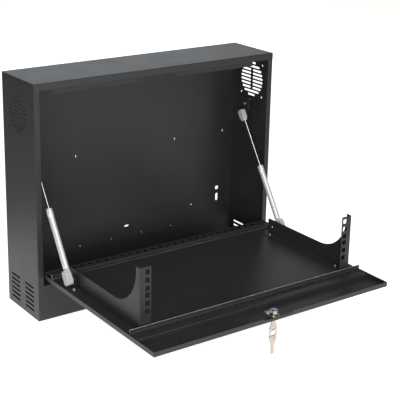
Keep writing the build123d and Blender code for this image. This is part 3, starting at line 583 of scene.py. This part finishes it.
def add_split_ring():
    """Centre + reach (cos t, 0, sin t), with each turn half a wire to one side and a crossing between."""
    low, high = (np.array(corner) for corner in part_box("key_ring"))
    reach = (high[Z_AXIS] - low[Z_AXIS]) / 2 - WIRE_RADIUS
    angle = np.linspace(RING_START, RING_START + 2 * np.pi * RING_TURNS, RING_POINTS)
    travel = np.linspace(-1, 1, RING_POINTS)
    sideways = WIRE_SPACING * WIRE_RADIUS * np.clip(travel * RING_CROSSING, -1, 1)
    path = (low + high) / 2 + np.stack([reach * np.cos(angle), sideways, reach * np.sin(angle)], axis=-1)
    points = tube_along(path, WIRE_RADIUS, WIRE_SIDES)
    piece = add_mesh("split_ring", points, grid_faces(len(points), WIRE_SIDES), wire_steel)
    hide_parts("key_ring")
    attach(piece, "ring")
    return piece


split_ring = add_split_ring()
print("split ring", len(split_ring.data.vertices), "points")

# %% [markdown]
# The mouth of each strut's tube is rolled over the rod guide, which shows as a collar with a step.
# It could be pulled out of the tube's own mesh, but the frame's meshes stay as they are, so the
# collar is a lathe shape of its own about the strut's axis. The record's joints give the axis and
# the lower ball, and the tube's mesh gives the height of its mouth.

# %% Rolled collar on each strut
COLLAR_LENGTH = 16 * MM
COLLAR_RISE = 0.4 * MM
COLLAR_STEP = 1.0 * MM
COLLAR_LIP = 0.1 * MM
COLLAR_SINK = 0.2 * MM
ROLL_START = 0.3 * MM
ROLL_RISE = 0.25 * MM
MOUTH_WALL = 1.6 * MM
LATHE_COLUMNS = 64
joints = {joint["name"]: joint for joint in frame["record"]["behaviour"]["joints"]}


def lathe(profile, base, axis):
    """Rings base + axis * height + radius (cos t side + sin t up), for each (height, radius) of a profile."""
    axis = np.array(axis) / np.linalg.norm(axis)
    side = np.cross(axis, (1.0, 0.0, 0.0))
    side /= np.linalg.norm(side)
    up = np.cross(axis, side)
    around = np.linspace(0, 2 * np.pi, LATHE_COLUMNS, endpoint=False)
    ring = np.cos(around)[:, None] * side + np.sin(around)[:, None] * up
    height, radius = np.array(profile).T
    return np.array(base) + height[:, None, None] * axis + radius[:, None, None] * ring


def add_collar(side):
    """A closed sleeve over the tube's mouth, a little wider than the tube."""
    axis = -np.array(joints[side + "_strut_slide"]["axis"])
    ball = np.array(joints[side + "_strut_swing"]["pos_m"])
    from_ball = node_points(side + "_strut_tube") - ball
    along = from_ball @ axis
    away = np.linalg.norm(from_ball - along[:, None] * axis, axis=1)
    top, radius = along.max(), away.max()
    low = top - COLLAR_LENGTH
    wide = radius + COLLAR_RISE
    mouth = radius - MOUTH_WALL
    profile = [
        (low, radius - COLLAR_SINK), (low, radius + COLLAR_LIP), (low + COLLAR_STEP / 2, wide),
        (top - COLLAR_STEP, wide), (top - ROLL_START, wide - ROLL_RISE),
        (top + ROLL_RISE, wide - COLLAR_STEP), (top + ROLL_RISE, mouth),
        (top - COLLAR_SINK, mouth), (low, radius - COLLAR_SINK),
    ]
    points = lathe(profile, ball, axis)
    collar = add_mesh(side + "_strut_collar", points, grid_faces(len(profile), LATHE_COLUMNS), tube_paint)
    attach(collar, side + "_tube")
    print(collar.name, "tube top", round(top / MM, 2), "radius", round(radius / MM, 2))


for side in ("left", "right"):
    add_collar(side)

# %% [markdown]
# The floor is a plain pale table that keeps the cabinet's shadow. More lamp light would turn it
# white and spoil the black steel, so it glows by itself, only for the camera.
# The sheets don't see that glow. The table close to the cabinet also glows, for mirroring rays only.
# This painted reflection makes the lower parts of the sides look lighter than the middle.

# %% Floor
FLOOR_HALF = 6.0
FLOOR_DROP = 0.6 * MM
FLOOR_COLOUR = (0.92, 0.91, 0.9, 1)
GLOW_COLOUR = (1.0, 0.985, 0.955, 1)
SHOWN_FLOOR = 0.9
# Strength and area of the painted glow on the table, which only mirroring rays see.
MIRRORED_GLOW_STRENGTH = 1.0
TABLE_HALF = (0.47, 0.5)
TABLE_MIDDLE = -0.21
TABLE_FADE = 0.18


# Where the table glows for mirroring rays: a painted reflection on the sheets.
def near_cabinet(tree):
    """1 on the table under and round the open cabinet, falling to 0: 1 - distance from a box / fade."""
    place = source(tree, "ShaderNodeTexCoord", "Object")
    x, y = (place.node("ShaderNodeSeparateXYZ", {}, {0: place}, output=axis) for axis in (X_AXIS, Y_AXIS))
    beyond_x = (x.maths("ABSOLUTE") - TABLE_HALF[0]).maths("MAXIMUM", 0.0)
    beyond_y = ((y - TABLE_MIDDLE).maths("ABSOLUTE") - TABLE_HALF[1]).maths("MAXIMUM", 0.0)
    distance = (beyond_x * beyond_x + beyond_y * beyond_y).maths("SQRT")
    return (1.0 - distance * (1 / TABLE_FADE)).maths("MAXIMUM", 0.0)


def floor_material():
    """A pale diffuse floor plus its own light: some for the camera, and a painted glow near the cabinet for
    mirroring rays.
    """
    material = bpy.data.materials.new("floor_white")
    material.use_nodes = True
    tree = material.node_tree
    tree.nodes.clear()
    shown = source(tree, "ShaderNodeLightPath", "Is Camera Ray") * SHOWN_FLOOR
    # The glow for mirroring rays is painted light, which the sheets reflect.
    painted_mirror_glow = source(tree, "ShaderNodeLightPath", "Is Glossy Ray") * near_cabinet(tree) * MIRRORED_GLOW_STRENGTH
    diffuse = shown.node("ShaderNodeBsdfDiffuse", {}, {"Color": FLOOR_COLOUR, "Roughness": 0.0})
    glow = shown.node("ShaderNodeEmission", {}, {"Color": GLOW_COLOUR, "Strength": shown + painted_mirror_glow})
    both = shown.node("ShaderNodeAddShader", {}, {0: diffuse, 1: glow})
    out = tree.nodes.new("ShaderNodeOutputMaterial")
    tree.links.new(both.socket, out.inputs["Surface"])
    return material


def add_floor():
    """One square of floor just below the cabinet."""
    corners = FLOOR_HALF * np.array([[-1, -1, 0], [1, -1, 0], [1, 1, 0], [-1, 1, 0]], float)
    corners[:, Z_AXIS] = -FLOOR_DROP
    mesh = bpy.data.meshes.new("floor")
    mesh.from_pydata(corners.tolist(), [], [(0, 1, 2, 3)])
    mesh.materials.append(floor_material())
    floor = bpy.data.objects.new("floor", mesh)
    bpy.context.scene.collection.objects.link(floor)
    return floor


floor = add_floor()
print("floor", floor.name, "half width", FLOOR_HALF)

# %% [markdown]
# Beyond the floor the world shows white to the camera. If it were white for all rays, it would
# light the cabinet from everywhere and the black steel would turn grey, so every other ray meets
# a dim room. The Standard view keeps each colour as it is written.

# %% World and view
SKY_COLOUR = (0.97, 0.985, 1, 1)
SKY_LIGHT = 0.05


def set_world():
    """Strength 1 for the camera, and a plain pale light of less strength for the rest."""
    world = bpy.data.worlds.new("studio")
    bpy.context.scene.world = world
    world.use_nodes = True
    tree = world.node_tree
    tree.nodes.clear()
    shown = source(tree, "ShaderNodeLightPath", "Is Camera Ray")
    light = shown * (1.0 - SKY_LIGHT) + SKY_LIGHT
    background = shown.node("ShaderNodeBackground", {}, {"Color": SKY_COLOUR, "Strength": light})
    out = tree.nodes.new("ShaderNodeOutputWorld")
    tree.links.new(background.socket, out.inputs["Surface"])


set_world()
bpy.context.scene.view_settings.view_transform = "Standard"
print("world", bpy.context.scene.world.name, "light", SKY_LIGHT)

# %% [markdown]
# Black sheet shows mostly what it reflects, so each lamp is placed for the face that mirrors it.
# Two behind, the higher one blue, give the top its even sheen. Two above, one high in front and one
# low on the left light the inside and the tray, and a warm one low in front lifts the door's edge.
# Powers set by eye take many tries. These were first solved from the light of each lamp alone,
# since the light of lamps adds up, and then trimmed against the picture.

# %% Lamps
CENTRE = (0.0, -0.25, 0.2)
PLAIN = (1.0, 1.0, 1.0)
WARM = (1.0, 0.97, 0.91)
COOL = (0.96, 0.98, 1.0)
BLUE = (0.72, 0.86, 1.0)


def add_lamp(name, place, size, power, colour):
    """A square area lamp that faces the cabinet's centre. Place and size are metres, power is watts."""
    data = bpy.data.lights.new(name, "AREA")
    data.shape = "SQUARE"
    data.size = size
    data.energy = power
    data.color = colour
    lamp = bpy.data.objects.new(name, data)
    bpy.context.scene.collection.objects.link(lamp)
    lamp.location = place
    lamp.rotation_euler = (Vector(CENTRE) - Vector(place)).to_track_quat("-Z", "Y").to_euler()
    return lamp


lamps = [
    add_lamp("lamp_behind_low", (1.3, 2.2, 1.1), size=2.0, power=10.2, colour=COOL),
    add_lamp("lamp_behind_high", (0.9, 2.6, 2.2), size=2.4, power=8.8, colour=BLUE),
    add_lamp("lamp_above", (-0.2, -0.6, 2.8), size=2.4, power=22, colour=PLAIN),
    add_lamp("lamp_above_left", (-2.0, -1.0, 2.6), size=1.4, power=6, colour=PLAIN),
    add_lamp("lamp_front_high", (-0.5, -2.8, 2.4), size=1.6, power=30, colour=PLAIN),
    add_lamp("lamp_left_low", (-1.9, -2.4, 0.6), size=1.2, power=40, colour=PLAIN),
    add_lamp("lamp_front_low", (1.2, -3.2, 0.5), size=1.0, power=18, colour=WARM),
]
print("lamps", [lamp.name for lamp in lamps])
